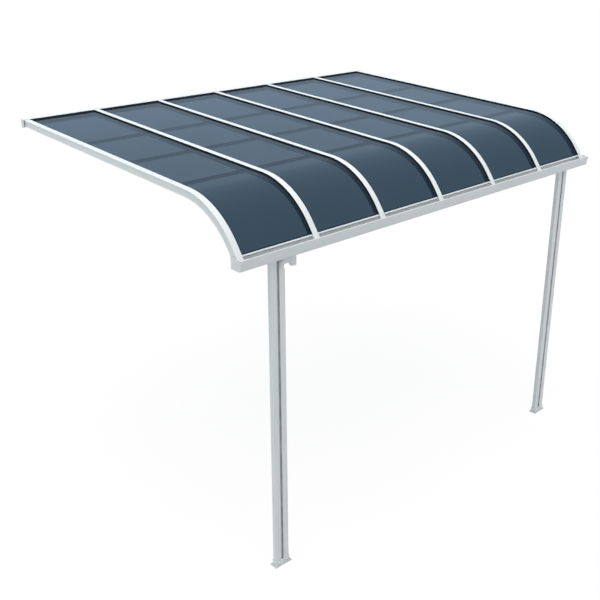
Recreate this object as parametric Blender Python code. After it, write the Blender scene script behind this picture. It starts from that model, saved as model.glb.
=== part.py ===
"""Wall-mounted aluminium awning with a bent front, tinted roof panels and two posts.

The origin is on the centre of the wall profile's flat back. X runs along the wall,
Y points into the wall and Z points up. All sizes are in metres.
"""
import math

import bmesh
import bpy

# Overall layout
BAY_COUNT = 6
BAY = 0.61                        # distance between rafter centres
PROJECTION = 2.85                 # from the wall to the front of the gutter
WALL_LINE_HEIGHT = 2.75           # centre of the wall profile above the ground
GAP = 0.0003                      # clearance between pieces that touch
LEAST_STEP = 0.002                # shortest distance between two rings of a bent piece

# Roof line, measured along the top of the rafters
ROOF_SLOPE = math.radians(1.5)
BEND_RADIUS = 0.61
BEND_ANGLE = math.radians(52.0)
BEND_STEPS = 14
ROOF_TAIL = 0.110                 # straight end of the rafter after the bend

# Roof panels
PANEL_THICKNESS = 0.006
PANEL_SIDE_PLAY = 0.001           # room for the sheet to grow inside its slot
PANEL_SETBACK = 0.033             # from the rafter's end to the sheet's end

# Rafter section
RAFTER_WIDTH = 0.046
RAFTER_HEIGHT = 0.053
RAFTER_CAP = 0.009                # thickness of the top bar above the slot
RAFTER_CAP_CHAMFER = 0.0015
RAFTER_SLOT_WEB = 0.012           # width left between the two slots
RAFTER_BODY = 0.032               # width of the box below the sheets
RAFTER_FOOT = 0.004               # thickness of the bottom flange
RAFTER_FOOT_OUT = 0.003           # how far the bottom flange stands out
SIDE_RECESS = 0.0015              # shallow channel on the outer face of an end rafter

# Wall profile
WALL_PROFILE_HEIGHT = 0.066
WALL_PROFILE_DEPTH = 0.045
WALL_PROFILE_WALL = 0.003
WALL_SHELF = 0.036                # reach of the shelf below the rafters
END_CAP = 0.003
END_MARGIN = 0.006                # profile end beyond the outer face of the end rafter

# Purlins between the rafters
PURLIN_ROWS = ("lower", "middle", "upper")
PURLIN_SPACING = 0.62             # from row to row
PURLIN_FROM_BEND = 0.15           # lowest row above the start of the bend
PURLIN_WIDTH = 0.020
PURLIN_HEIGHT = 0.020
PURLIN_WALL = 0.002

# Trim on the lower end of each sheet
TRIM_WALL = 0.0015
TRIM_LEG = 0.008

# Gutter
GUTTER_HEIGHT = 0.078
GUTTER_DEPTH = 0.105
GUTTER_WALL = 0.003
GUTTER_LIP = 0.010                # upright strip at the top of the front
GUTTER_LIP_RETURN = 0.008         # flat strip turned inwards at the very top
GUTTER_LEAN = 0.010               # how far the front leans back below the lip
GUTTER_CORNER = 0.014             # rounding at the bottom of the front
GUTTER_CORNER_STEPS = 4
GUTTER_FLANGE = 0.024             # sloped seat below the rafters
GUTTER_CAP = 0.004
RAFTER_END_IN = 0.040             # from the gutter front to the tip of a rafter
RAFTER_END_DOWN = 0.022           # from the lip down to the tip of a rafter

# Posts
POST_FROM_FRONT = 0.036           # post front behind the gutter's front
POST_WIDTH = 0.115
POST_DEPTH = 0.036
POST_GROOVE = 0.021
POST_GROOVE_DEPTH = 0.014
POST_CHAMFER = 0.003
POST_FROM_END = 0.275             # post centre inside the end rafter's centre
PIPE_DROP = 0.073                 # how far the left post is cut open for the elbow
POST_TONGUE = 0.0025              # walls of the post that stay beside the elbow

# Post feet
FOOT_PLATE = 0.006
FOOT_BORDER = 0.012               # plate beyond the collar
FOOT_COLLAR = 0.042
FOOT_COLLAR_WALL = 0.0025

# Gutter outlet and elbow
OUTLET_FROM_POST = 0.134
OUTLET_WIDTH = 0.036
OUTLET_HEIGHT = 0.074
OUTLET_FLOOR = 0.004
DRAIN_RADIUS = 0.013
DRAIN_SIDES = 20
ELBOW_HEIGHT = 0.039
ELBOW_DEPTH = 0.028
ELBOW_CHAMFER = 0.006
ELBOW_BEND = 0.034
ELBOW_STEPS = 8
ELBOW_COLLAR = 0.012              # length of the thicker collar at each end
ELBOW_COLLAR_OUT = 0.002

SPAN = BAY_COUNT * BAY
HALF_SPAN = 0.5 * SPAN
GROUND = -WALL_LINE_HEIGHT
OUTER_FACE = HALF_SPAN + 0.5 * RAFTER_WIDTH
PROFILE_HALF = OUTER_FACE + END_MARGIN
PANEL_TOP = RAFTER_CAP + GAP
SLOT_BOTTOM = PANEL_TOP + PANEL_THICKNESS + GAP
END_SLOPE = ROOF_SLOPE + BEND_ANGLE


def shade(name, colour, metallic, roughness, alpha=1.0):
    """Make one plain material for a sub-part."""
    material = bpy.data.materials.new(name)
    material.use_nodes = True
    shader = material.node_tree.nodes["Principled BSDF"]
    shader.inputs["Base Color"].default_value = (*colour, 1.0)
    shader.inputs["Metallic"].default_value = metallic
    shader.inputs["Roughness"].default_value = roughness
    shader.inputs["Alpha"].default_value = alpha
    return material


def white(name):
    """White powder-coated aluminium."""
    return shade(name + "_coat", (0.86, 0.88, 0.90), 0.1, 0.4)


def solid(name, rings, material):
    """Skin equal rings of points into one closed body with flat ends."""
    mesh = bpy.data.meshes.new(name)
    shell = bmesh.new()
    rows = [[shell.verts.new(point) for point in ring] for ring in rings]
    count = len(rings[0])
    for row, following in zip(rows, rows[1:]):
        for i in range(count):
            j = (i + 1) % count
            shell.faces.new((row[i], row[j], following[j], following[i]))
    shell.faces.new(rows[0])
    shell.faces.new(rows[-1])
    bmesh.ops.recalc_face_normals(shell, faces=shell.faces)
    shell.to_mesh(mesh)
    shell.free()
    mesh.shade_smooth()
    mesh.set_sharp_from_angle(angle=math.radians(30.0))
    mesh.materials.append(material)
    piece = bpy.data.objects.new(name, mesh)
    bpy.context.scene.collection.objects.link(piece)
    return piece


def extrude_x(name, section, start, end, material):
    """Extrude a (y, z) section along X."""
    rings = [[(x, y, z) for y, z in section] for x in (start, end)]
    return solid(name, rings, material)


def extrude_z(name, section, bottom, top, material):
    """Extrude an (x, y) section along Z."""
    rings = [[(x, y, z) for x, y in section] for z in (bottom, top)]
    return solid(name, rings, material)


def inner_line(line, wall):
    """Offset an open line to its left side by the wall thickness."""
    moved = []
    for i, point in enumerate(line):
        before = line[max(i - 1, 0)]
        after = line[min(i + 1, len(line) - 1)]
        first = unit(before, point) if i > 0 else unit(point, after)
        second = unit(point, after) if i < len(line) - 1 else first
        bisector = (first[0] + second[0], first[1] + second[1])
        length = math.hypot(*bisector)
        normal = (-bisector[1] / length, bisector[0] / length)
        cosine = -normal[0] * first[1] + normal[1] * first[0]
        reach = wall / cosine
        moved.append((point[0] + normal[0] * reach, point[1] + normal[1] * reach))
    return moved


def unit(a, b):
    """Unit direction from a to b."""
    length = math.hypot(b[0] - a[0], b[1] - a[1])
    return ((b[0] - a[0]) / length, (b[1] - a[1]) / length)


def thin_wall(line, wall):
    """Closed section of a folded sheet whose outer face follows the line."""
    return line + inner_line(line, wall)[::-1]


def arc(centre, radius, start, end, steps):
    """Points on an arc, angles in degrees."""
    points = []
    for i in range(steps + 1):
        angle = math.radians(start + (end - start) * i / steps)
        points.append((centre[0] + radius * math.cos(angle),
                       centre[1] + radius * math.sin(angle)))
    return points


# The roof line starts behind the wall profile's back plate, just under its top flange
ROOF_START_Y = -WALL_PROFILE_WALL - GAP
FLANGE_UNDER = 0.5 * WALL_PROFILE_HEIGHT - WALL_PROFILE_WALL / math.cos(ROOF_SLOPE)
ROOF_START_Z = FLANGE_UNDER - GAP + ROOF_START_Y * math.tan(ROOF_SLOPE)
BEND_RUN = BEND_RADIUS * (math.sin(END_SLOPE) - math.sin(ROOF_SLOPE))
TAIL_RUN = ROOF_TAIL * math.cos(END_SLOPE)
ROOF_RUN = PROJECTION - RAFTER_END_IN + ROOF_START_Y
FLAT_LENGTH = (ROOF_RUN - BEND_RUN - TAIL_RUN) / math.cos(ROOF_SLOPE)
BEND_LENGTH = BEND_RADIUS * BEND_ANGLE
ROOF_LENGTH = FLAT_LENGTH + BEND_LENGTH + ROOF_TAIL


def roof(s, depth):
    """The (y, z) point at distance s along the roof and a depth below its top."""
    bend = min(max(s - FLAT_LENGTH, 0.0), BEND_LENGTH)
    slope = ROOF_SLOPE + bend / BEND_RADIUS
    flat = min(s, FLAT_LENGTH)
    tail = max(s - FLAT_LENGTH - BEND_LENGTH, 0.0)
    y = ROOF_START_Y - flat * math.cos(ROOF_SLOPE) - tail * math.cos(slope)
    y -= BEND_RADIUS * (math.sin(slope) - math.sin(ROOF_SLOPE))
    z = ROOF_START_Z - flat * math.sin(ROOF_SLOPE) - tail * math.sin(slope)
    z -= BEND_RADIUS * (math.cos(ROOF_SLOPE) - math.cos(slope))
    return (y + depth * math.sin(slope), z - depth * math.cos(slope))


def roof_stations(end):
    """Distances along the roof where a bent piece has a ring."""
    bend = [FLAT_LENGTH + BEND_LENGTH * i / BEND_STEPS for i in range(BEND_STEPS + 1)]
    return [0.0] + [s for s in bend if s < end - LEAST_STEP] + [end]


def sweep_roof(name, x, section, end, level, material):
    """Sweep an (x, depth) section down the roof; the wall end is cut upright.

    The lower end is cut level where level is true, and square otherwise.
    """
    rings = []
    for s in roof_stations(end):
        rings.append([(x + u, *roof(s, depth)) for u, depth in section])
    rings[0] = [(a, ROOF_START_Y, c + (b - ROOF_START_Y) * -math.tan(ROOF_SLOPE))
                for a, b, c in rings[0]]
    if level:
        floor = roof(end, 0.0)[1]
        rings[-1] = [(a, b - (c - floor) / math.tan(END_SLOPE), floor)
                     for a, b, c in rings[-1]]
    return solid(name, rings, material)


def rafter_side(side):
    """Half of a rafter section with a slot for a sheet, from top to bottom."""
    cap = 0.5 * RAFTER_WIDTH
    body = 0.5 * RAFTER_BODY
    web = 0.5 * RAFTER_SLOT_WEB
    foot = RAFTER_HEIGHT - RAFTER_FOOT
    points = [(cap - RAFTER_CAP_CHAMFER, 0.0), (cap, RAFTER_CAP_CHAMFER),
              (cap, RAFTER_CAP), (web, RAFTER_CAP), (web, SLOT_BOTTOM),
              (body, SLOT_BOTTOM), (body, foot), (body + RAFTER_FOOT_OUT, foot),
              (body + RAFTER_FOOT_OUT, RAFTER_HEIGHT)]
    return [(side * u, depth) for u, depth in points]


def rafter_outer_side(side):
    """Half of an end rafter section with its closed outer face."""
    cap = 0.5 * RAFTER_WIDTH
    foot = RAFTER_HEIGHT - RAFTER_FOOT
    points = [(cap - RAFTER_CAP_CHAMFER, 0.0), (cap, RAFTER_CAP_CHAMFER),
              (cap, RAFTER_CAP), (cap - SIDE_RECESS, RAFTER_CAP),
              (cap - SIDE_RECESS, foot), (cap, foot), (cap, RAFTER_HEIGHT)]
    return [(side * u, depth) for u, depth in points]


def make_rafters():
    """One rafter on every bay line, with closed outer faces on the two ends."""
    for i in range(BAY_COUNT + 1):
        left = rafter_outer_side(-1) if i == 0 else rafter_side(-1)
        right = rafter_outer_side(1) if i == BAY_COUNT else rafter_side(1)
        section = right + left[::-1]
        name = f"rafter_{i + 1}"
        sweep_roof(name, bay_line(i), section, ROOF_LENGTH, True, white(name))


def bay_line(i):
    """X of rafter centre i, counted from the left end."""
    return -HALF_SPAN + i * BAY


def make_roof_panels():
    """One bent sheet in each bay, held in the rafters' slots, and its end trim."""
    inside = 0.5 * RAFTER_SLOT_WEB + PANEL_SIDE_PLAY
    half = 0.5 * BAY - inside
    bottom = PANEL_TOP + PANEL_THICKNESS
    section = [(-half, PANEL_TOP), (half, PANEL_TOP), (half, bottom), (-half, bottom)]
    end = ROOF_LENGTH - PANEL_SETBACK
    trim_half = 0.5 * (BAY - RAFTER_WIDTH) - GAP
    for i in range(BAY_COUNT):
        centre = bay_line(i) + 0.5 * BAY
        tint = shade(f"roof_panel_{i + 1}_tint", (0.10, 0.14, 0.19), 0.0, 0.25, 0.75)
        sweep_roof(f"roof_panel_{i + 1}", centre, section, end, False, tint)
        name = f"panel_end_trim_{i + 1}"
        extrude_x(name, trim_section(end), centre - trim_half, centre + trim_half,
                  white(name))


def trim_section(end):
    """U section that wraps the lower end of a sheet."""
    top = PANEL_TOP - GAP - TRIM_WALL
    bottom = PANEL_TOP + PANEL_THICKNESS + GAP + TRIM_WALL
    start = end - TRIM_LEG
    close = end + GAP + TRIM_WALL
    outline = [roof(start, top), roof(close, top), roof(close, bottom), roof(start, bottom)]
    return thin_wall(outline, TRIM_WALL)


def make_purlins():
    """Three rows of channel bars under the sheets, one bar per bay and row."""
    half = 0.5 * (BAY - RAFTER_BODY) - GAP
    top = SLOT_BOTTOM
    bottom = top + PURLIN_HEIGHT
    for row, label in enumerate(PURLIN_ROWS):
        s = FLAT_LENGTH - PURLIN_FROM_BEND - row * PURLIN_SPACING
        near = s - 0.5 * PURLIN_WIDTH
        far = s + 0.5 * PURLIN_WIDTH
        outline = [roof(near, top), roof(far, top), roof(far, bottom), roof(near, bottom)]
        section = thin_wall(outline, PURLIN_WALL)
        for i in range(BAY_COUNT):
            centre = bay_line(i) + 0.5 * BAY
            name = f"purlin_{label}_{i + 1}"
            extrude_x(name, section, centre - half, centre + half, white(name))


def make_wall_profile():
    """Extrusion on the wall: back plate, top flange, and shelf below the rafters."""
    half = 0.5 * WALL_PROFILE_HEIGHT
    wall = WALL_PROFILE_WALL
    fall = math.tan(ROOF_SLOPE)
    step = wall / math.cos(ROOF_SLOPE)
    shelf = ROOF_START_Z - RAFTER_HEIGHT / math.cos(ROOF_SLOPE) - GAP
    shelf_root = shelf + (-wall - ROOF_START_Y) * fall
    shelf_tip = shelf + (-WALL_SHELF - ROOF_START_Y) * fall
    front = -WALL_PROFILE_DEPTH
    section = [(0.0, half), (front, half + front * fall), (front, half + front * fall - step),
               (-wall, half - wall * fall - step), (-wall, shelf_root),
               (-WALL_SHELF, shelf_tip), (-WALL_SHELF, shelf_tip - step),
               (-wall, shelf_root - step), (-wall, -half), (0.0, -half)]
    extrude_x("wall_profile", section, -PROFILE_HALF, PROFILE_HALF, white("wall_profile"))
    cover = [(0.0, half), (front, half + front * fall), (front, -half), (0.0, -half)]
    inner = PROFILE_HALF + GAP
    outer = inner + END_CAP
    extrude_x("wall_cap_left", cover, -outer, -inner, white("wall_cap_left"))
    extrude_x("wall_cap_right", cover, inner, outer, white("wall_cap_right"))


RAFTER_TIP = roof(ROOF_LENGTH, 0.0)
GUTTER_FRONT = -PROJECTION
GUTTER_BACK = GUTTER_FRONT + GUTTER_DEPTH
GUTTER_TOP = RAFTER_TIP[1] + RAFTER_END_DOWN
GUTTER_UNDER = GUTTER_TOP - GUTTER_HEIGHT


def gutter_front_line():
    """Outer face of the gutter's front, from the lip to the underside."""
    lean_top = (GUTTER_FRONT, GUTTER_TOP - GUTTER_LIP)
    lean_end = (GUTTER_FRONT + GUTTER_LEAN, GUTTER_UNDER + GUTTER_CORNER)
    centre = (lean_end[0] + GUTTER_CORNER, lean_end[1])
    corner = arc(centre, GUTTER_CORNER, 180.0, 270.0, GUTTER_CORNER_STEPS)
    return [(GUTTER_FRONT, GUTTER_TOP), lean_top] + corner


def gutter_back_line():
    """Outer face of the gutter's back, up to the seat below the rafters."""
    seat_depth = RAFTER_HEIGHT + GAP
    inner = GUTTER_BACK - GUTTER_WALL
    tip = roof(ROOF_LENGTH, seat_depth)
    rise = (inner - tip[0]) * math.tan(END_SLOPE)
    top = tip[1] + rise
    corner = (GUTTER_BACK, top - GUTTER_WALL * math.tan(0.5 * (math.pi / 2 - END_SLOPE)))
    flange = (corner[0] + GUTTER_FLANGE * math.cos(END_SLOPE),
              corner[1] + GUTTER_FLANGE * math.sin(END_SLOPE))
    return [(GUTTER_BACK, GUTTER_UNDER), corner, flange]


def make_gutter():
    """Open trough with a leaning front, a high back and two end caps."""
    lip = (GUTTER_FRONT + GUTTER_LIP_RETURN, GUTTER_TOP)
    outline = [lip] + gutter_front_line() + gutter_back_line()
    half = PROFILE_HALF
    section = thin_wall(outline, GUTTER_WALL)
    gutter = extrude_x("gutter", section, -half, half, white("gutter"))
    cover = gutter_front_line() + [(GUTTER_BACK, GUTTER_UNDER), (GUTTER_BACK, GUTTER_TOP)]
    inner = half + GAP
    outer = inner + GUTTER_CAP
    extrude_x("gutter_cap_left", cover, -outer, -inner, white("gutter_cap_left"))
    extrude_x("gutter_cap_right", cover, inner, outer, white("gutter_cap_right"))
    return gutter


POST_CENTRE_Y = GUTTER_FRONT + POST_FROM_FRONT + 0.5 * POST_DEPTH
POST_X = HALF_SPAN - POST_FROM_END


def post_section(x):
    """Two-chamber post section with a groove down its front and its back."""
    half = 0.5 * POST_WIDTH
    deep = 0.5 * POST_DEPTH
    groove = 0.5 * POST_GROOVE
    floor = deep - POST_GROOVE_DEPTH
    c = POST_CHAMFER
    right = [(groove, -floor), (groove, -deep), (half - c, -deep), (half, -deep + c),
             (half, deep - c), (half - c, deep), (groove, deep), (groove, floor)]
    left = [(-u, -v) for u, v in right]
    return [(x + u, POST_CENTRE_Y + v) for u, v in right + left]


def make_posts():
    """Posts and feet; the left post's pipe chamber is cut open below the gutter."""
    bottom = GROUND + FOOT_PLATE + GAP
    top = GUTTER_UNDER - GAP
    for x, side in ((-POST_X, "left"), (POST_X, "right")):
        name = f"post_{side}"
        post = extrude_z(name, post_section(x), bottom, top, white(name))
        if side == "left":
            reach = rectangle(x + 0.5 * (POST_GROOVE + POST_WIDTH) + POST_TONGUE,
                              POST_CENTRE_Y - 0.5 * POST_DEPTH - POST_TONGUE,
                              0.5 * POST_WIDTH, POST_DEPTH)
            cutter = extrude_z("pipe_chamber_cutter", reach, top - PIPE_DROP, top + PIPE_DROP,
                               white("pipe_chamber_cutter"))
            cut(post, cutter)
        make_foot(x, side)


def rectangle(x, y, half_x, half_y):
    """Corners of an upright piece's rectangular section."""
    return [(x - half_x, y - half_y), (x + half_x, y - half_y),
            (x + half_x, y + half_y), (x - half_x, y + half_y)]


def cut(piece, cutter):
    """Take the cutter's volume out of a piece."""
    cutter.hide_render = True
    cutter.display_type = "WIRE"
    step = piece.modifiers.new(cutter.name, "BOOLEAN")
    step.operation = "DIFFERENCE"
    step.solver = "EXACT"
    step.object = cutter


def make_foot(x, side):
    """Base plate with a low collar around the bottom of a post."""
    inner = (0.5 * POST_WIDTH + GAP, 0.5 * POST_DEPTH + GAP)
    outer = (inner[0] + FOOT_COLLAR_WALL, inner[1] + FOOT_COLLAR_WALL)
    plate = (outer[0] + FOOT_BORDER, outer[1] + FOOT_BORDER)
    floor = GROUND + FOOT_PLATE
    rim = floor + FOOT_COLLAR
    steps = ((plate, GROUND), (plate, floor), (outer, floor), (outer, rim),
             (inner, rim), (inner, floor))
    rings = [[(*corner, z) for corner in rectangle(x, POST_CENTRE_Y, *size)]
             for size, z in steps]
    solid(f"post_foot_{side}", rings, white(f"post_foot_{side}"))


def make_outlet(gutter):
    """Spigot below the gutter's drain hole and the elbow into the left post."""
    x = -POST_X + OUTLET_FROM_POST
    y = POST_CENTRE_Y
    top = GUTTER_UNDER - GAP
    half = 0.5 * OUTLET_WIDTH
    outlet = extrude_z("gutter_outlet", rectangle(x, y, half, half), top - OUTLET_HEIGHT, top,
                       white("gutter_outlet"))
    bore = arc((x, y), DRAIN_RADIUS, 0.0, 360.0, DRAIN_SIDES)[:-1]
    drain = extrude_z("drain_cutter", bore, top - OUTLET_HEIGHT + OUTLET_FLOOR,
                      GUTTER_UNDER + GUTTER_HEIGHT, white("drain_cutter"))
    cut(outlet, drain)
    cut(gutter, drain)
    make_elbow(x - half - GAP, top - PIPE_DROP + GAP)


def elbow_section(out):
    """Eight-sided section of the elbow, made larger by a margin."""
    high = 0.5 * ELBOW_HEIGHT + out
    deep = 0.5 * ELBOW_DEPTH + out
    c = ELBOW_CHAMFER
    return [(-high, -deep + c), (-high + c, -deep), (high - c, -deep), (high, -deep + c),
            (high, deep - c), (high - c, deep), (-high + c, deep), (-high, deep - c)]


def make_elbow(start, low):
    """Flat-sided pipe from the outlet, bent down onto the post's pipe chamber."""
    pipe_x = -POST_X + 0.25 * (POST_GROOVE + POST_WIDTH) + 0.5 * POST_TONGUE
    pipe_y = POST_CENTRE_Y - 0.5 * POST_TONGUE
    centre = (pipe_x + ELBOW_BEND, low + ELBOW_COLLAR)
    level = centre[1] + ELBOW_BEND
    plain = elbow_section(0.0)
    collar = elbow_section(ELBOW_COLLAR_OUT)
    rings = []
    for x, section in ((start, collar), (start - ELBOW_COLLAR, collar),
                       (start - ELBOW_COLLAR, plain)):
        rings.append([(x, pipe_y + v, level + u) for u, v in section])
    for i in range(ELBOW_STEPS + 1):
        angle = 0.5 * math.pi * (1 + i / ELBOW_STEPS)
        rings.append([(centre[0] + math.cos(angle) * (ELBOW_BEND + u), pipe_y + v,
                       centre[1] + math.sin(angle) * (ELBOW_BEND + u)) for u, v in plain])
    for z in (centre[1], low):
        rings.append([(pipe_x - u, pipe_y + v, z) for u, v in collar])
    solid("outlet_elbow", rings, white("outlet_elbow"))


def main():
    for old in list(bpy.data.objects):
        bpy.data.objects.remove(old, do_unlink=True)
    make_wall_profile()
    make_rafters()
    make_roof_panels()
    make_purlins()
    gutter = make_gutter()
    make_posts()
    make_outlet(gutter)


main()
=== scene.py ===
"""White aluminium awning with bent rafters and tinted roof sheets, dressed around its frame."""
import math

import bmesh
import bpy
from mathutils import Matrix, Vector


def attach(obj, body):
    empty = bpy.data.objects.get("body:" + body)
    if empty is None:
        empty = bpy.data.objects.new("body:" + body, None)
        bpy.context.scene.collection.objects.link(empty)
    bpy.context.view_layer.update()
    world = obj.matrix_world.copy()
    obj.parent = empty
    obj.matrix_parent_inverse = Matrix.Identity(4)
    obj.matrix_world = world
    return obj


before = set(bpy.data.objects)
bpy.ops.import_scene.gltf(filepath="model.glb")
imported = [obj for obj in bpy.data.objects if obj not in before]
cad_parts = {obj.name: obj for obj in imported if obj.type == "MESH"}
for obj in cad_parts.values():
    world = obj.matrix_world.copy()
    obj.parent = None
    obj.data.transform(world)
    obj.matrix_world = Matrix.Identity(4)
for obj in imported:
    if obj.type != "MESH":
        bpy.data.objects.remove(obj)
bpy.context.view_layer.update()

X, Y, Z = range(3)
SIDES = ((-1, "left"), (1, "right"))


# Places of the frame that the extra pieces keep to, in metres

def corners_of(name):
    """Lowest and highest corner of a frame node, to a tenth of a millimetre."""
    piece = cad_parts[name]
    corners = [piece.matrix_world @ Vector(corner) for corner in piece.bound_box]
    low = [round(min(corner[axis] for corner in corners), 4) for axis in range(3)]
    high = [round(max(corner[axis] for corner in corners), 4) for axis in range(3)]
    return low, high


PROFILE_LOW, PROFILE_HIGH = corners_of("wall_profile")
RAFTER_LOW, RAFTER_HIGH = corners_of("rafter_2")
GUTTER_LOW, GUTTER_HIGH = corners_of("gutter")
POST_LOW, POST_HIGH = corners_of("post_right")
FOOT_LOW, FOOT_HIGH = corners_of("post_foot_right")
GROUND = FOOT_LOW[Z]
BAYS = sum(name.startswith("roof_panel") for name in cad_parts)
BAY = round(corners_of("rafter_3")[0][X] - RAFTER_LOW[X], 4)
HALF_SPAN = 0.5 * BAYS * BAY
CAP_HALF = 0.5 * (RAFTER_HIGH[X] - RAFTER_LOW[X])

# Roof line along the rafters' top: straight, then bent, then a straight tail
ROOF_START = (RAFTER_HIGH[Y], RAFTER_HIGH[Z])
SLOPE = math.radians(1.5)
BEND = math.radians(52.0)
END_SLOPE = SLOPE + BEND
BEND_RADIUS = 0.61
BEND_STEPS = 28
TAIL = 0.110
BEND_LENGTH = BEND_RADIUS * BEND
BEND_REACH = BEND_RADIUS * (math.sin(END_SLOPE) - math.sin(SLOPE))
FLAT_REACH = ROOF_START[0] - RAFTER_LOW[Y] - BEND_REACH - TAIL * math.cos(END_SLOPE)
ROOF_LENGTH = round(FLAT_REACH / math.cos(SLOPE) + BEND_LENGTH + TAIL, 4)
FLAT_LENGTH = ROOF_LENGTH - TAIL - BEND_LENGTH

# Rafter, sheet and trim around the roof line
GAP = 0.0003                      # clearance between pieces that touch
RAFTER_CAP = 0.009
RAFTER_HEIGHT = 0.053
PROFILE_WALL = 0.003
FLANGE_EDGE = PROFILE_LOW[Y]      # front of the wall profile's top flange
FLANGE_UNDER = PROFILE_HIGH[Z] - PROFILE_WALL
SHEET_TOP = RAFTER_CAP + GAP      # depth below the roof line
SHEET_SETBACK = 0.033             # from the rafter's end to the sheet's end
TRIM_LEG = 0.008
TRIM_START = ROOF_LENGTH - SHEET_SETBACK - TRIM_LEG


def roof(s, depth):
    """The (y, z) point at distance s along the roof and a depth below its top."""
    flat = min(s, FLAT_LENGTH)
    slope = SLOPE + min(max(s - FLAT_LENGTH, 0.0), BEND_LENGTH) / BEND_RADIUS
    tail = max(s - FLAT_LENGTH - BEND_LENGTH, 0.0)
    y = ROOF_START[0] - flat * math.cos(SLOPE) - tail * math.cos(slope)
    y -= BEND_RADIUS * (math.sin(slope) - math.sin(SLOPE))
    z = ROOF_START[1] - flat * math.sin(SLOPE) - tail * math.sin(slope)
    z -= BEND_RADIUS * (math.cos(SLOPE) - math.cos(slope))
    return (y + depth * math.sin(slope), z - depth * math.cos(slope))


def rafter_middle(i):
    """The x of a rafter's centre line, counted from the left."""
    return -HALF_SPAN + i * BAY


# Camera

FOCAL_PIXELS = 886.65
PICTURE_PIXELS = 600
CENTRE_PIXELS = (341.55, 259.77)
CAMERA_PLACE = (-4.7837, -6.7891, 1.5820)
CAMERA_YAW = math.radians(43.497)
CAMERA_PITCH = math.radians(21.371)
CAMERA_ROLL = math.radians(0.691)
CAMERA_SENSOR = 36.0
CAMERA_RANGE = (0.1, 400.0)


def new_object(name, data):
    """New object in the scene that shows the data."""
    item = bpy.data.objects.new(name, data)
    bpy.context.scene.collection.objects.link(item)
    return item


def make_camera():
    """Camera at the photograph's viewing angle."""
    data = bpy.data.cameras.new("camera")
    camera = new_object("camera", data)
    flat = math.cos(CAMERA_PITCH)
    forward = Vector((math.sin(CAMERA_YAW) * flat, math.cos(CAMERA_YAW) * flat,
                      -math.sin(CAMERA_PITCH)))
    level = Vector((math.cos(CAMERA_YAW), -math.sin(CAMERA_YAW), 0.0))
    upward = level.cross(forward)
    right = math.cos(CAMERA_ROLL) * level + math.sin(CAMERA_ROLL) * upward
    top = math.cos(CAMERA_ROLL) * upward - math.sin(CAMERA_ROLL) * level
    turn = Matrix((right, top, -forward)).transposed().to_4x4()
    camera.matrix_world = Matrix.Translation(CAMERA_PLACE) @ turn
    data.sensor_width = CAMERA_SENSOR
    data.lens = CAMERA_SENSOR * FOCAL_PIXELS / PICTURE_PIXELS
    half = 0.5 * PICTURE_PIXELS
    data.shift_x = (half - CENTRE_PIXELS[0]) / PICTURE_PIXELS
    data.shift_y = (CENTRE_PIXELS[1] - half) / PICTURE_PIXELS
    data.clip_start, data.clip_end = CAMERA_RANGE
    bpy.context.scene.camera = camera


# Shader nodes

def add(tree, kind, **settings):
    """New shader node with its settings."""
    node = tree.nodes.new(kind)
    for key, value in settings.items():
        setattr(node, key, value)
    return node


def set_inputs(node, values):
    """Set a node's inputs, given by their names."""
    for key, value in values.items():
        node.inputs[key].default_value = value


def noise(tree, fineness=1.0, detail=2.0, stretch=(1.0, 1.0, 1.0)):
    """Noise in the object's own metres, made finer along each axis by stretch."""
    place = add(tree, "ShaderNodeTexCoord").outputs["Object"]
    mapping = add(tree, "ShaderNodeMapping")
    mapping.inputs["Scale"].default_value = stretch
    tree.links.new(place, mapping.inputs["Vector"])
    texture = add(tree, "ShaderNodeTexNoise")
    set_inputs(texture, {"Scale": fineness, "Detail": detail})
    tree.links.new(mapping.outputs["Vector"], texture.inputs["Vector"])
    return texture.outputs["Fac"]


def ramp(tree, source, low=0.0, high=1.0, start=0.3, stop=0.7):
    """Map a value between start and stop to low and high."""
    node = add(tree, "ShaderNodeMapRange")
    set_inputs(node, {"From Min": start, "From Max": stop, "To Min": low, "To Max": high})
    tree.links.new(source, node.inputs["Value"])
    return node.outputs["Result"]


def blend(tree, amount, first, second):
    """Mix two colours by a value; a colour is a triple or a socket."""
    node = add(tree, "ShaderNodeMix", data_type="RGBA")
    tree.links.new(amount, node.inputs[0])
    for socket, colour in ((node.inputs[6], first), (node.inputs[7], second)):
        if isinstance(colour, tuple):
            socket.default_value = (*colour, 1.0)
        else:
            tree.links.new(colour, socket)
    return node.outputs[2]


def multiply(tree, first, second):
    """Product of two values; a value is a number or a socket."""
    node = add(tree, "ShaderNodeMath", operation="MULTIPLY")
    for socket, source in zip(node.inputs, (first, second)):
        if isinstance(source, float):
            socket.default_value = source
        else:
            tree.links.new(source, socket)
    return node.outputs[0]


def mix_shaders(tree, amount, first, second):
    """Output of a shader between first and second; the amount is a number or a socket."""
    node = add(tree, "ShaderNodeMixShader")
    if isinstance(amount, float):
        node.inputs["Fac"].default_value = amount
    else:
        tree.links.new(amount, node.inputs["Fac"])
    tree.links.new(first, node.inputs[1])
    tree.links.new(second, node.inputs[2])
    return node.outputs[0]


def bump(tree, shader, height, strength, distance):
    """Give a shader a bump from a height value."""
    node = add(tree, "ShaderNodeBump")
    set_inputs(node, {"Strength": strength, "Distance": distance})
    tree.links.new(height, node.inputs["Height"])
    tree.links.new(node.outputs["Normal"], shader.inputs["Normal"])


def facing_up(tree, start, stop):
    """0 to 1 as the upright part of a face's direction goes from start to stop."""
    direction = add(tree, "ShaderNodeSeparateXYZ")
    tree.links.new(add(tree, "ShaderNodeNewGeometry").outputs["Normal"], direction.inputs[0])
    return ramp(tree, direction.outputs["Z"], start=start, stop=stop)


def start_material(name):
    """New node material, its tree and its shader."""
    material = bpy.data.materials.new(name)
    material.use_nodes = True
    tree = material.node_tree
    return material, tree, tree.nodes["Principled BSDF"]


# White powder coat

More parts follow.
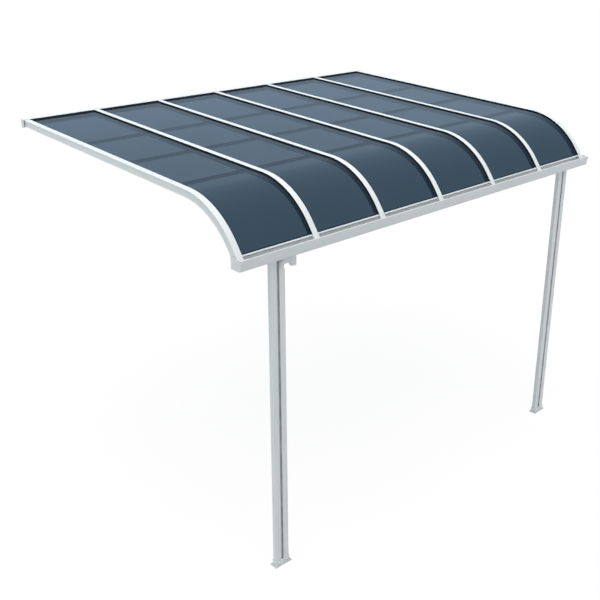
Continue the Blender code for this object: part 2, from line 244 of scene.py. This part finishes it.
COAT_LIGHT = (0.870, 0.900, 0.920)
COAT_SHADE = (0.835, 0.868, 0.892)
COAT_SHADER = {"Metallic": 0.0, "IOR": 1.5, "Coat Weight": 0.12, "Coat Roughness": 0.25}
LINES_ALONG = 1.2
LINES_ACROSS = 240.0
GUTTER_DUST = (0.80, 0.78, 0.73)
DUST_STREAKS = (3.0, 60.0, 60.0)
GROUND_DUST = (0.50, 0.51, 0.50)
INNER_FRONT = GUTTER_LOW[Y] + 0.0035
INNER_FRONT_BLUR = 0.001
BELOW_LIP = GUTTER_HIGH[Z] - 0.0059
BELOW_LIP_BLUR = 0.004
# near-black painted shade on the purlins' top faces: seen through the sheets it stands in for the
# shade of the bars
PURLIN_TOP_SHADE = (0.014, 0.015, 0.017)


def inside_gutter(tree):
    """1 on the gutter's inner faces and 0 on its outside."""
    place = add(tree, "ShaderNodeSeparateXYZ")
    tree.links.new(add(tree, "ShaderNodeTexCoord").outputs["Object"], place.inputs[0])
    behind = ramp(tree, place.outputs["Y"], start=INNER_FRONT, stop=INNER_FRONT + INNER_FRONT_BLUR)
    below = ramp(tree, place.outputs["Z"], low=1.0, high=0.0,
                 start=BELOW_LIP, stop=BELOW_LIP + BELOW_LIP_BLUR)
    return multiply(tree, multiply(tree, behind, below), facing_up(tree, start=-0.15, stop=0.2))


def gutter_dust(tree):
    """How much dust lies on each place inside the gutter."""
    streaks = noise(tree, detail=4.0, stretch=DUST_STREAKS)
    return multiply(tree, ramp(tree, streaks, low=0.10, high=0.75), inside_gutter(tree))


def ground_dust(tree):
    """How much dust lies on each face that looks up near the ground."""
    specks = noise(tree, fineness=60.0, detail=4.0)
    return multiply(tree, ramp(tree, specks, low=0.75, high=1.0),
                    facing_up(tree, start=0.5, stop=0.9))


def coat(name, along, dust=None):
    """White powder coat: slow tone drift, fine orange peel, faint lines along the extrusion.

    The lines run along the named axes, two of them where the extrusion is bent. Dust lies
    inside the gutter or on what faces up near the ground."""
    material, tree, shader = start_material(name)
    drift = noise(tree, fineness=2.3, detail=3.0)
    lines = noise(tree, stretch=[LINES_ALONG if axis in along else LINES_ACROSS for axis in "xyz"])
    peel = noise(tree, fineness=850.0, detail=1.0)
    colour = blend(tree, ramp(tree, drift), COAT_SHADE, COAT_LIGHT)
    if dust == "gutter":
        colour = blend(tree, gutter_dust(tree), colour, GUTTER_DUST)
    if dust == "ground":
        colour = blend(tree, ground_dust(tree), colour, GROUND_DUST)
    tree.links.new(colour, shader.inputs["Base Color"])
    tree.links.new(ramp(tree, lines, low=0.34, high=0.44), shader.inputs["Roughness"])
    set_inputs(shader, COAT_SHADER)
    bump(tree, shader, peel, strength=0.05, distance=0.0002)
    return material


def coat_with_painted_top_shade(name):
    """White coat with a near-black painted shade on the faces that look up, below the sheets."""
    material = coat(name, "x")
    tree = material.node_tree
    shader = tree.nodes["Principled BSDF"]
    white = shader.inputs["Base Color"].links[0].from_socket
    # painted shade: faces that look up turn near-black
    colour = blend(tree, facing_up(tree, start=0.80, stop=0.85), white, PURLIN_TOP_SHADE)
    tree.links.new(colour, shader.inputs["Base Color"])
    return material


# Tinted sheet

SHEET_DARK = (0.006, 0.012, 0.024)
SHEET_LIGHT = (0.010, 0.017, 0.032)
SHEET_SEEN_THROUGH = (0.56, 0.72, 0.84, 1.0)
SHEET_CLEAR = 0.34                # share of each of the sheet's faces that lets light pass
SHEET_HAZE = (9.0, 2.0, 2.0)
SHEET_WAVES = (5.0, 1.1, 1.1)


def tinted_sheet(name):
    """Glossy grey-blue polycarbonate that lets a little light through."""
    material, tree, shader = start_material(name)
    drift = noise(tree, fineness=1.4)
    haze = noise(tree, detail=5.0, stretch=SHEET_HAZE)
    waves = noise(tree, detail=1.0, stretch=SHEET_WAVES)
    tree.links.new(blend(tree, ramp(tree, drift), SHEET_DARK, SHEET_LIGHT),
                   shader.inputs["Base Color"])
    tree.links.new(ramp(tree, haze, low=0.09, high=0.15), shader.inputs["Roughness"])
    set_inputs(shader, {"IOR": 1.5, "Specular IOR Level": 0.22})
    bump(tree, shader, waves, strength=0.4, distance=0.0010)
    clear = add(tree, "ShaderNodeBsdfTransparent")
    clear.inputs["Color"].default_value = SHEET_SEEN_THROUGH
    both = mix_shaders(tree, SHEET_CLEAR, shader.outputs[0], clear.outputs[0])
    tree.links.new(both, tree.nodes["Material Output"].inputs["Surface"])
    return material


# Rubber and steel

RUBBER_CLEAN = (0.84, 0.86, 0.90)
RUBBER_DUSTY = (1.18, 1.20, 1.25)
SEAL_TONE = 0.021
# grey of the strips in the posts' grooves: painted shade of the grooves
GROOVE_SHADE_TONE = 0.54
STEEL_DARK = (0.52, 0.53, 0.55)
STEEL_LIGHT = (0.68, 0.69, 0.70)


def rubber(name, tone):
    """Matt sealing rubber with a little dust, as light as tone; the grey strips in the post
    grooves use it as painted shade.
    """
    material, tree, shader = start_material(name)
    grain = noise(tree, fineness=420.0, detail=3.0)
    dust = noise(tree, fineness=17.0, detail=4.0)
    clean = tuple(part * tone for part in RUBBER_CLEAN)
    dusty = tuple(part * tone for part in RUBBER_DUSTY)
    tree.links.new(blend(tree, ramp(tree, dust), clean, dusty), shader.inputs["Base Color"])
    tree.links.new(ramp(tree, grain, low=0.70, high=0.85), shader.inputs["Roughness"])
    shader.inputs["Specular IOR Level"].default_value = 0.10
    bump(tree, shader, grain, strength=0.3, distance=0.0003)
    return material


def steel(name):
    """Zinc-plated steel of the screws."""
    material, tree, shader = start_material(name)
    grain = noise(tree, fineness=260.0, detail=3.0)
    tree.links.new(blend(tree, ramp(tree, grain), STEEL_DARK, STEEL_LIGHT),
                   shader.inputs["Base Color"])
    tree.links.new(ramp(tree, grain, low=0.26, high=0.42), shader.inputs["Roughness"])
    shader.inputs["Metallic"].default_value = 1.0
    bump(tree, shader, grain, strength=0.15, distance=0.0002)
    return material


# Studio

FLOOR_SIZE = 240.0
FLOOR_DROP = 0.0003               # floor just below the feet
FLOOR_COLOUR = (0.50, 0.50, 0.50, 1.0)
FLOOR_WHITE = 0.88                # how much of the floor's colour is plain white
FLOOR_GLOW = 1.07
SKY_COLOUR = (0.83, 0.94, 1.0, 1.0)
SKY_LEVEL = 0.49
BACKDROP_COLOUR = (1.0, 1.0, 1.0, 1.0)
STUDIO_COLOUR = (0.58, 0.73, 0.91, 1.0)
STUDIO_FRONT = 0.35               # how bright mirrored surroundings are in front
STUDIO_TURN = (-0.5, 0.35)        # where they change from the front's to the back's brightness
SUN_LEVEL = 2.30
SUN_COLOUR = (1.0, 0.960, 0.890)
SUN_SOFTNESS = math.radians(50.0)
SUN_DIRECTION = (0.18, 0.10, -1.0)


def seen_directly(tree):
    """1 for rays from the camera and for mirrored or refracted ones."""
    path = add(tree, "ShaderNodeLightPath")
    total = path.outputs["Is Camera Ray"]
    for other in ("Is Glossy Ray", "Is Transmission Ray"):
        node = add(tree, "ShaderNodeMath", operation="MAXIMUM")
        tree.links.new(total, node.inputs[0])
        tree.links.new(path.outputs[other], node.inputs[1])
        total = node.outputs[0]
    return total


def make_world():
    """Pale sky light, a white backdrop, and a darker studio in front for mirror images."""
    world = bpy.data.worlds.new("studio")
    bpy.context.scene.world = world
    world.use_nodes = True
    tree = world.node_tree
    tree.nodes.clear()
    sky = add(tree, "ShaderNodeBackground")
    set_inputs(sky, {"Color": SKY_COLOUR, "Strength": SKY_LEVEL})
    white = add(tree, "ShaderNodeBackground")
    set_inputs(white, {"Color": BACKDROP_COLOUR, "Strength": 1.0})
    mirrored = add(tree, "ShaderNodeBackground")
    mirrored.inputs["Color"].default_value = STUDIO_COLOUR
    direction = add(tree, "ShaderNodeSeparateXYZ")
    tree.links.new(add(tree, "ShaderNodeTexCoord").outputs["Generated"], direction.inputs[0])
    level = ramp(tree, direction.outputs["Y"], low=STUDIO_FRONT,
                 start=STUDIO_TURN[0], stop=STUDIO_TURN[1])
    tree.links.new(level, mirrored.inputs["Strength"])
    path = add(tree, "ShaderNodeLightPath")
    light = sky.outputs[0]
    for ray, other in (("Is Glossy Ray", mirrored), ("Is Camera Ray", white),
                       ("Is Transmission Ray", white)):
        light = mix_shaders(tree, path.outputs[ray], light, other.outputs[0])
    output = add(tree, "ShaderNodeOutputWorld")
    tree.links.new(light, output.inputs["Surface"])


def make_floor():
    """Plain pale floor that keeps a faint shadow."""
    mesh = bpy.data.meshes.new("floor")
    half = 0.5 * FLOOR_SIZE
    level = GROUND - FLOOR_DROP
    corners = [(-half, -half, level), (half, -half, level), (half, half, level),
               (-half, half, level)]
    mesh.from_pydata(corners, [], [(0, 1, 2, 3)])
    floor = new_object("floor", mesh)
    material = bpy.data.materials.new("floor_paint")
    material.use_nodes = True
    tree = material.node_tree
    tree.nodes.clear()
    lit = add(tree, "ShaderNodeBsdfDiffuse")
    lit.inputs["Color"].default_value = FLOOR_COLOUR
    plain = add(tree, "ShaderNodeEmission")
    plain.inputs["Strength"].default_value = FLOOR_GLOW
    amount = multiply(tree, seen_directly(tree), FLOOR_WHITE)
    both = mix_shaders(tree, amount, lit.outputs[0], plain.outputs[0])
    output = add(tree, "ShaderNodeOutputMaterial")
    tree.links.new(both, output.inputs["Surface"])
    mesh.materials.append(material)


def make_sun():
    """Soft light from above, a little from the left."""
    data = bpy.data.lights.new("overhead", "SUN")
    data.energy = SUN_LEVEL
    data.color = SUN_COLOUR
    data.angle = SUN_SOFTNESS
    lamp = new_object("overhead", data)
    lamp.rotation_mode = "QUATERNION"
    lamp.rotation_quaternion = Vector(SUN_DIRECTION).to_track_quat("-Z", "Y")


# Meshes

def close_rows(shell, rows):
    """Faces between equal rows of corners, with a flat end at the first and the last."""
    count = len(rows[0])
    for row, following in zip(rows, rows[1:]):
        for i in range(count):
            j = (i + 1) % count
            shell.faces.new((row[i], row[j], following[j], following[i]))
    shell.faces.new(rows[0])
    shell.faces.new(rows[-1])


def finish_piece(name, shell, material, smooth_angle):
    """Turn a bmesh into a piece that rides on the frame."""
    bmesh.ops.recalc_face_normals(shell, faces=shell.faces)
    mesh = bpy.data.meshes.new(name)
    shell.to_mesh(mesh)
    shell.free()
    mesh.shade_smooth()
    mesh.set_sharp_from_angle(angle=smooth_angle)
    mesh.materials.append(material)
    piece = new_object(name, mesh)
    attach(piece, "root")
    return piece


def skin(name, rings, material, smooth_angle):
    """Closed piece through equal rings of points."""
    shell = bmesh.new()
    close_rows(shell, [[shell.verts.new(point) for point in ring] for ring in rings])
    return finish_piece(name, shell, material, smooth_angle)


# Rubber seals

SEAL_SMOOTH = math.radians(60.0)
SEAL_FROM_FLANGE = 0.002
SEAL_FROM_CAP = 0.0001
SEAL_FROM_TRIM = 0.0005
# Out from the rafter's cap, and depth below the roof line
SEAL_SECTION = ((0.0, 0.0004), (0.0038, 0.0004), (0.0045, 0.0009), (0.0048, 0.0022),
                (0.0048, 0.0084), (0.0044, 0.0092), (0.0, 0.0092))
WALL_SEAL_FROM_CAP = 0.0004
WALL_SEAL_TOP = FLANGE_UNDER - 0.0012
# Behind the flange's edge, and above the seal's top or above the sheet
WALL_SEAL_UPPER = ((0.006, 0.0), (0.0, 0.0), (-0.0015, -0.002))
WALL_SEAL_LOWER = ((-0.0025, 0.004), (-0.006, 0.0012), (-0.006, 0.0004), (0.006, 0.0002))


def seal_stations():
    """Distances along the roof where a seal has a ring."""
    bend = [FLAT_LENGTH + BEND_LENGTH * i / BEND_STEPS for i in range(BEND_STEPS + 1)]
    return [SEAL_FROM_FLANGE - FLANGE_EDGE] + bend + [TRIM_START - SEAL_FROM_TRIM]


def make_rafter_seals(black):
    """A rubber bead along each side of every rafter cap that has a sheet."""
    for i in range(BAYS + 1):
        for side, label in SIDES:
            if (i == 0 and side < 0) or (i == BAYS and side > 0):
                continue
            rings = []
            for s in seal_stations():
                rings.append([(rafter_middle(i) + side * (CAP_HALF + SEAL_FROM_CAP + out),
                               *roof(s, depth)) for out, depth in SEAL_SECTION])
            skin(f"rafter_seal_{i + 1}_{label}", rings, black, SEAL_SMOOTH)


def make_wall_seals(black):
    """A rubber strip below the wall profile's flange in every bay."""
    sheet = roof(-FLANGE_EDGE, SHEET_TOP)[1]
    section = [(FLANGE_EDGE + behind, WALL_SEAL_TOP + above) for behind, above in WALL_SEAL_UPPER]
    section += [(FLANGE_EDGE + behind, sheet + above) for behind, above in WALL_SEAL_LOWER]
    from_middle = CAP_HALF + WALL_SEAL_FROM_CAP
    for i in range(BAYS):
        ends = (rafter_middle(i) + from_middle, rafter_middle(i + 1) - from_middle)
        rings = [[(x, y, z) for y, z in section] for x in ends]
        skin(f"wall_seal_{i + 1}", rings, black, SEAL_SMOOTH)


# Dark grey strips in the posts' grooves, painted shade of the recesses

POST_X = 0.5 * (POST_LOW[X] + POST_HIGH[X])
POST_Y = 0.5 * (POST_LOW[Y] + POST_HIGH[Y])
POST_HALF_DEPTH = 0.5 * (POST_HIGH[Y] - POST_LOW[Y])
GROOVE_WIDTH = 0.021
GROOVE_DEPTH = 0.014
LINING_SMOOTH = math.radians(30.0)
LINING_THICK = 0.0015
LINING_SETBACK = 0.0015           # from the post's face to the lining's rim
LINING_GAP = 0.0001


def make_groove_shade_linings(dark):
    """A channel-shaped dark grey strip in the groove on each side of both posts, painted shade of
    the groove's hollow.
    """
    outer = 0.5 * GROOVE_WIDTH - LINING_GAP
    inner = outer - LINING_THICK
    back = POST_HALF_DEPTH - GROOVE_DEPTH + LINING_GAP
    bed = back + LINING_THICK
    rim = POST_HALF_DEPTH - LINING_SETBACK
    section = [(-outer, rim), (-inner, rim), (-inner, bed), (inner, bed), (inner, rim),
               (outer, rim), (outer, back), (-outer, back)]
    for side, label in SIDES:
        for facing, face in ((-1, "front"), (1, "back")):
            rings = [[(side * POST_X + u, POST_Y + facing * v, z) for u, v in section]
                     for z in (POST_LOW[Z], POST_HIGH[Z])]
            skin(f"groove_shade_lining_{label}_{face}", rings, dark, LINING_SMOOTH)


# Screws

SCREW_SMOOTH = math.radians(30.0)
WASHER_SIDES = 20
WASHER_RADIUS = 0.0070
WASHER_THICK = 0.0012
WASHER_LIFT = 0.00005             # keeps the washer just off the surface
HEAD_SIDES = 6
HEAD_RADIUS = 0.0050
HEAD_THICK = 0.0040
HEAD_EDGE = 0.0008
FOOT_BORDER = 0.012               # foot plate beyond its collar
COLLAR_HALF_WIDTH = 0.5 * (FOOT_HIGH[X] - FOOT_LOW[X]) - FOOT_BORDER
COLLAR_HALF_DEPTH = 0.5 * (FOOT_HIGH[Y] - FOOT_LOW[Y]) - FOOT_BORDER
COLLAR_SCREW_OUT = 0.034
COLLAR_SCREW_UP = 0.027
SHELF_SCREW = (-0.024, -0.02725)  # (y, z) on the lower face of the wall shelf
SEAT_DEPTH = RAFTER_HEIGHT + GAP + PROFILE_WALL    # lower face of the gutter's seat
SEAT_FROM_TIP = 0.045
SCREW_SPREAD = 0.011


def make_screw(name, place, outward, material):
    """Hex-headed screw with a washer, pointing outward from a surface."""
    shell = bmesh.new()
    turn = Vector(outward).normalized().to_track_quat("Z", "Y").to_matrix()
    head_top = WASHER_THICK + HEAD_THICK
    washer = ((WASHER_RADIUS, WASHER_LIFT), (WASHER_RADIUS, WASHER_THICK))
    head = ((HEAD_RADIUS, WASHER_THICK), (HEAD_RADIUS, head_top - HEAD_EDGE),
            (HEAD_RADIUS - HEAD_EDGE, head_top))
    for sides, rings in ((WASHER_SIDES, washer), (HEAD_SIDES, head)):
        rows = []
        for radius, height in rings:
            ring = []
            for i in range(sides):
                angle = 2.0 * math.pi * i / sides
                corner = Vector((radius * math.cos(angle), radius * math.sin(angle), height))
                ring.append(shell.verts.new(Vector(place) + turn @ corner))
            rows.append(ring)
        close_rows(shell, rows)
    return finish_piece(name, shell, material, SCREW_SMOOTH)


def make_foot_screws(white):
    """Four white screws in the collar of each foot."""
    z = GROUND + COLLAR_SCREW_UP
    front = POST_Y - COLLAR_HALF_DEPTH
    for side, label in SIDES:
        x = side * POST_X
        places = (((x - COLLAR_SCREW_OUT, front, z), (0, -1, 0)),
                  ((x + COLLAR_SCREW_OUT, front, z), (0, -1, 0)),
                  ((x - COLLAR_HALF_WIDTH, POST_Y, z), (-1, 0, 0)),
                  ((x + COLLAR_HALF_WIDTH, POST_Y, z), (1, 0, 0)))
        for count, (place, outward) in enumerate(places):
            screw = make_screw(f"foot_screw_{label}_{count + 1}", place, outward, white)


def make_roof_screws(metal):
    """Two screws below each rafter's end at the wall shelf and at the gutter seat."""
    seat = roof(ROOF_LENGTH - SEAT_FROM_TIP, SEAT_DEPTH)
    below_shelf = (0, math.sin(SLOPE), -math.cos(SLOPE))
    below_seat = (0, math.sin(END_SLOPE), -math.cos(END_SLOPE))
    for i in range(BAYS + 1):
        for side, label in SIDES:
            x = rafter_middle(i) + side * SCREW_SPREAD
            make_screw(f"wall_screw_{i + 1}_{label}", (x, *SHELF_SCREW), below_shelf, metal)
            make_screw(f"gutter_screw_{i + 1}_{label}", (x, *seat), below_seat, metal)


# Edges and finishes of the frame's own pieces, told by how a name starts, first match first

EDGE_WIDTHS = (("gutter_outlet", 0.003), ("gutter", 0.0008), ("outlet_elbow", 0.0015),
               ("post", 0.0012), ("rafter", 0.0006), ("purlin", 0.0006),
               ("roof_panel", 0.0004), ("panel_end_trim", 0.0003),
               ("wall_profile", 0.0006), ("wall_cap", 0.0008))
EDGE_SEGMENTS = 2
EDGE_ANGLE = math.radians(35.0)
FLAT_ANGLE = math.radians(0.5)
JOIN_DISTANCE = 0.00001


def by_name(table, name):
    """Value of the first entry in a table that the name starts with."""
    return next(value for start, value in table if name.startswith(start))


def make_joiner():
    """Node group that joins a body's separate faces, so that it shades and rounds as one."""
    group = bpy.data.node_groups.new("joined_body", "GeometryNodeTree")
    for way in ("INPUT", "OUTPUT"):
        group.interface.new_socket("Geometry", in_out=way, socket_type="NodeSocketGeometry")
    enter = group.nodes.new("NodeGroupInput")
    clear = group.nodes.new("GeometryNodeRemoveAttribute")
    clear.inputs["Name"].default_value = "custom_normal"
    join = group.nodes.new("GeometryNodeMergeByDistance")
    join.inputs["Distance"].default_value = JOIN_DISTANCE
    smooth = group.nodes.new("GeometryNodeSetShadeSmooth")
    leave = group.nodes.new("NodeGroupOutput")
    for first, second in ((enter, clear), (clear, join), (join, smooth), (smooth, leave)):
        group.links.new(first.outputs[0], second.inputs[0])
    return group


def soften_edges(piece, width, joiner):
    """Round the edges of a frame piece a little with modifiers."""
    piece.modifiers.new("joined_body", "NODES").node_group = joiner
    merge = piece.modifiers.new("flat_faces", "DECIMATE")
    merge.decimate_type = "DISSOLVE"
    merge.angle_limit = FLAT_ANGLE
    edge = piece.modifiers.new("edges", "BEVEL")
    edge.width = width
    edge.segments = EDGE_SEGMENTS
    edge.limit_method = "ANGLE"
    edge.angle_limit = EDGE_ANGLE
    edge.harden_normals = True


def dress_frame():
    """Give every frame node its finish and slightly rounded edges."""
    crosswise = coat("white_coat_x", "x")
    lengthwise = coat("white_coat_y", "yz")
    upright = coat("white_coat_z", "z")
    finishes = (("gutter_outlet", upright), ("gutter_cap", crosswise),
                ("gutter", coat("white_coat_gutter", "x", dust="gutter")),
                ("outlet_elbow", upright),
                ("post_foot", coat("white_coat_foot", "z", dust="ground")),
                ("post", upright), ("rafter", lengthwise),
                # the purlins' top faces carry painted shade, which darkens them through the sheets
                ("purlin", coat_with_painted_top_shade("white_coat_top_shaded")),
                ("roof_panel", tinted_sheet("tinted_sheet")),
                ("panel_end_trim", crosswise), ("wall", crosswise))
    joiner = make_joiner()
    for name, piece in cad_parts.items():
        for socket in piece.material_slots:
            socket.material = by_name(finishes, name)
        soften_edges(piece, by_name(EDGE_WIDTHS, name), joiner)


make_camera()
make_world()
make_floor()
make_sun()
dress_frame()
seal_rubber = rubber("seal_rubber", SEAL_TONE)
make_rafter_seals(seal_rubber)
make_wall_seals(seal_rubber)
# the dark strips in the post grooves are painted shade
make_groove_shade_linings(rubber("groove_painted_shade", GROOVE_SHADE_TONE))
make_foot_screws(coat("white_coat_screws", "z"))
make_roof_screws(steel("zinc_steel"))

bpy.context.scene.view_settings.view_transform = "Standard"
